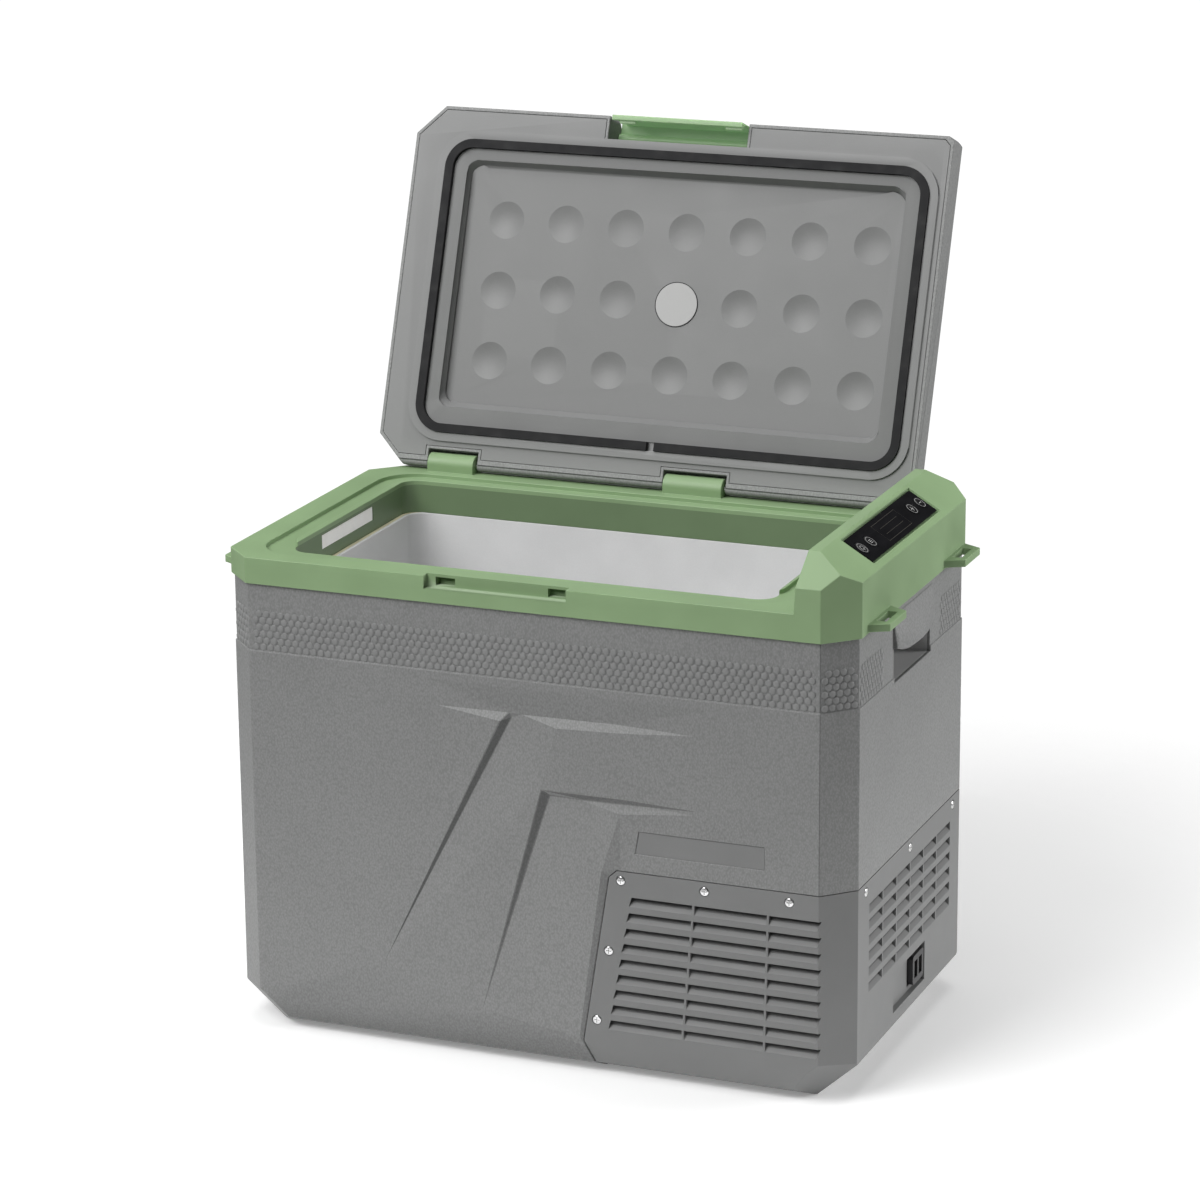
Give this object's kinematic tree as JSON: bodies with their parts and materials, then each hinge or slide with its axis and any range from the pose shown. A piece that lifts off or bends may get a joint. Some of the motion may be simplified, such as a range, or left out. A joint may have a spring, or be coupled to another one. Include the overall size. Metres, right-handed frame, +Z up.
{
  "type": "portable compressor fridge",
  "caption": "Portable compressor cooler fridge with a back-hinged insulated lid, raised control console, side grips, lashing lugs and vented compressor bay.",
  "frame": {"origin": "middle of the flat underside, below the middle of the body", "axes": "+X to the right along the long front, +Y to the back, +Z up"},
  "size_m": [0.614, 0.4756, 0.7591],
  "materials": {
    "grain_shell": "moulded grey plastic with a leather-like grain",
    "smooth_plastic": "smooth satin grey plastic",
    "cup_plastic": "smooth dark grey plastic",
    "green_plastic": "satin sage-green plastic",
    "liner_plastic": "pale food-safe plastic",
    "lid_panel_plastic": "smooth grey plastic",
    "foam": "rigid closed-cell foam",
    "rubber": "black rubber",
    "seal_rubber": "soft black seal rubber",
    "wire_rubber": "wire insulation",
    "sheet_metal": "coated sheet steel",
    "screw_metal": "bright steel",
    "contact_metal": "plated contacts",
    "black_plastic": "black plastic",
    "lamp_lens": "frosted lamp diffuser",
    "circuit_board": "solder-masked circuit board",
    "display_gloss": "glossy black panel",
    "key_gloss": "glossy black key cap",
    "compressor_paint": "black painted steel",
    "alloy_case": "finned alloy case",
    "condenser_metal": "finned heat exchanger",
    "copper_tube": "copper tube",
    "alloy_sheet": "thin alloy sheet",
    "badge_plastic": "pale satin disc"
  },
  "bodies": {
    "cabinet": {"outer_shell": "grain_shell", "name_plate": "smooth_plastic", "foot_pads": "rubber", "insulation": "foam", "tank_liner": "liner_plastic", "rim_frame": "green_plastic", "handle_cup_left": "cup_plastic", "handle_cup_right": "cup_plastic", "bay_bulkhead": "sheet_metal", "base_pan": "sheet_metal", "vent_cover": "smooth_plastic", "cover_screws": "screw_metal", "power_inlet": "black_plastic", "inlet_contacts": "contact_metal", "lamp_lens": "lamp_lens", "lamp_board": "circuit_board", "display_lens": "display_gloss", "display_module": "black_plastic", "control_board": "circuit_board", "compressor": "compressor_paint", "compressor_mount": "sheet_metal", "compressor_grommets": "rubber", "terminal_cover": "black_plastic", "control_module": "alloy_case", "condenser": "condenser_metal", "fan_frame": "black_plastic", "filter_dryer": "copper_tube", "refrigerant_lines": "copper_tube", "evaporator_plate": "alloy_sheet", "temperature_probe": "contact_metal", "power_harness": "wire_rubber"},
    "lid": {"lid_shell": "grain_shell", "lid_foam": "foam", "lid_inner_panel": "lid_panel_plastic", "lid_gasket": "seal_rubber", "lid_badge": "badge_plastic", "hinge_pins": "screw_metal", "latch_pin": "screw_metal"},
    "latch": {"latch_flap": "green_plastic"},
    "fan": {"fan_rotor": "black_plastic"},
    "key_power": {"key_power": "key_gloss"},
    "key_mode": {"key_mode": "key_gloss"},
    "key_up": {"key_up": "key_gloss"},
    "key_down": {"key_down": "key_gloss"}
  },
  "joints": [
    {"name": "lid_hinge", "type": "hinge", "parent": "cabinet", "child": "lid", "pos_m": [0, 0.165, 0.4408], "axis": [1, 0, 0], "range_deg": [0, 110.2]},
    {"name": "latch_hinge", "type": "hinge", "parent": "lid", "child": "latch", "pos_m": [0, 0.29639, 0.7313], "axis": [1, 0, 0], "range_deg": [-40, 0]},
    {"name": "fan_spin", "type": "hinge", "parent": "cabinet", "child": "fan", "pos_m": [0.23, 0.018, 0.092], "axis": [1, 0, 0], "continuous": true},
    {"name": "key_power_press", "type": "slide", "parent": "cabinet", "child": "key_power", "axis": [-0.5145, 0, -0.8575], "range_m": [0, 0.0006], "stiffness_N_per_m": 500, "springref_m": -0.001},
    {"name": "key_mode_press", "type": "slide", "parent": "cabinet", "child": "key_mode", "axis": [-0.5145, 0, -0.8575], "range_m": [0, 0.0006], "stiffness_N_per_m": 500, "springref_m": -0.001},
    {"name": "key_up_press", "type": "slide", "parent": "cabinet", "child": "key_up", "axis": [-0.5145, 0, -0.8575], "range_m": [0, 0.0006], "stiffness_N_per_m": 500, "springref_m": -0.001},
    {"name": "key_down_press", "type": "slide", "parent": "cabinet", "child": "key_down", "axis": [-0.5145, 0, -0.8575], "range_m": [0, 0.0006], "stiffness_N_per_m": 500, "springref_m": -0.001}
  ]
}
